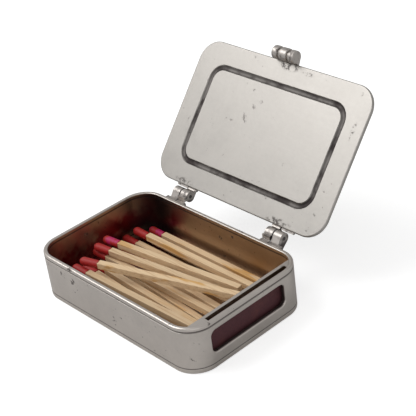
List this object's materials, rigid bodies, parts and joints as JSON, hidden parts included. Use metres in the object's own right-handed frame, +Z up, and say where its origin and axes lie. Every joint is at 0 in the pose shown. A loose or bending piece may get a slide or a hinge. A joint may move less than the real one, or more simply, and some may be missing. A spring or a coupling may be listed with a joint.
{
  "type": "matchbox holder",
  "caption": "Pocket metal box for matches, with a hinged lid, a grooved thumb lift and a striker strip that slides behind a window in one end.",
  "frame": {"origin": "centre of the underside", "axes": "+X along the box towards the striker window, +Y towards the hinges, +Z up"},
  "size_m": [0.071, 0.082, 0.0583],
  "materials": {
    "wall_metal": "satin pewter, lightly pitted and worn",
    "base_metal": "satin pewter with a dark soldered seam",
    "partition_metal": "satin pewter",
    "hinge_metal": "satin pewter, dark in the joints",
    "hinge_pins": "dull dark metal",
    "lid_metal": "satin pewter with a dark sunk line",
    "lift_metal": "satin pewter, dark in the grooves",
    "striker_strip": "matt maroon striking surface",
    "match_wood": "bare pale softwood",
    "match_heads": "matt red striking compound"
  },
  "bodies": {
    "box": {"body_wall": "wall_metal", "base_plate": "base_metal", "striker_partition": "partition_metal", "body_hinge_leaf_left": "hinge_metal", "body_hinge_leaf_right": "hinge_metal", "hinge_pin_left": "hinge_pins", "hinge_pin_right": "hinge_pins", "match_stick_1": "match_wood", "match_stick_2": "match_wood", "match_stick_3": "match_wood", "match_stick_4": "match_wood", "match_stick_5": "match_wood", "match_stick_6": "match_wood", "match_stick_7": "match_wood", "match_stick_8": "match_wood", "match_stick_9": "match_wood", "match_stick_10": "match_wood", "match_stick_11": "match_wood", "match_stick_12": "match_wood", "match_stick_13": "match_wood", "match_stick_14": "match_wood", "match_stick_15": "match_wood", "match_stick_16": "match_wood", "match_stick_17": "match_wood", "match_head_1": "match_heads", "match_head_2": "match_heads", "match_head_3": "match_heads", "match_head_4": "match_heads", "match_head_5": "match_heads", "match_head_6": "match_heads", "match_head_7": "match_heads", "match_head_8": "match_heads", "match_head_9": "match_heads", "match_head_10": "match_heads", "match_head_11": "match_heads", "match_head_12": "match_heads", "match_head_13": "match_heads", "match_head_14": "match_heads", "match_head_15": "match_heads", "match_head_16": "match_heads", "match_head_17": "match_heads"},
    "lid": {"lid_plate": "lid_metal", "lid_hinge_leaf_left": "hinge_metal", "lid_hinge_leaf_right": "hinge_metal", "thumb_lift": "lift_metal"},
    "striker": {"striker_strip": "striker_strip"}
  },
  "joints": [
    {"name": "lid_hinge", "type": "hinge", "parent": "box", "child": "lid", "pos_m": [0, 0.02625, 0.01575], "axis": [1, 0, 0], "range_deg": [0, 129.6]},
    {"name": "strip_slide", "type": "slide", "parent": "box", "child": "striker", "axis": [0, 0, 1], "range_m": [0, 0.0018]}
  ]
}
